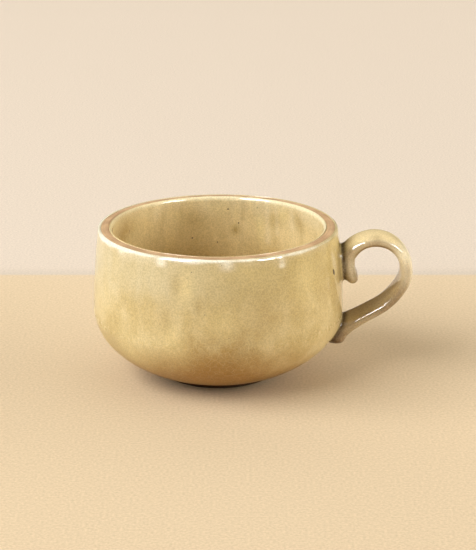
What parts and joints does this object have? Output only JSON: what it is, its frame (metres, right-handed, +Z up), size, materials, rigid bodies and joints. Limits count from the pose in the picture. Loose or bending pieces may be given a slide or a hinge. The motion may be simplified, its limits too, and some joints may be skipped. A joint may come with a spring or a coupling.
{
  "type": "coffee cup",
  "caption": "Round-bellied stoneware coffee cup with a bare clay rim, a low foot ring, a mottled ash glaze and a pulled strap handle that ends in a curl.",
  "frame": {"origin": "on the surface the cup stands on, at the middle of the cup's footprint box, handle included; the bowl's own axis is at x = -13.23 mm", "axes": "+Z up along the bowl's axis, +X towards the handle"},
  "size_m": [0.1214, 0.095, 0.058],
  "materials": {
    "bare_clay": "unglazed brown stoneware, matte and finely gritty",
    "joining_slip": "fired slip, matte",
    "ash_glaze": "glossy mottled mustard ash glaze with paler runs and dark iron specks"
  },
  "bodies": {
    "root": {"bowl": "bare_clay", "handle": "bare_clay", "upper_slip_joint": "joining_slip", "lower_slip_joint": "joining_slip", "inner_glaze": "ash_glaze", "outer_glaze": "ash_glaze"}
  },
  "joints": []
}
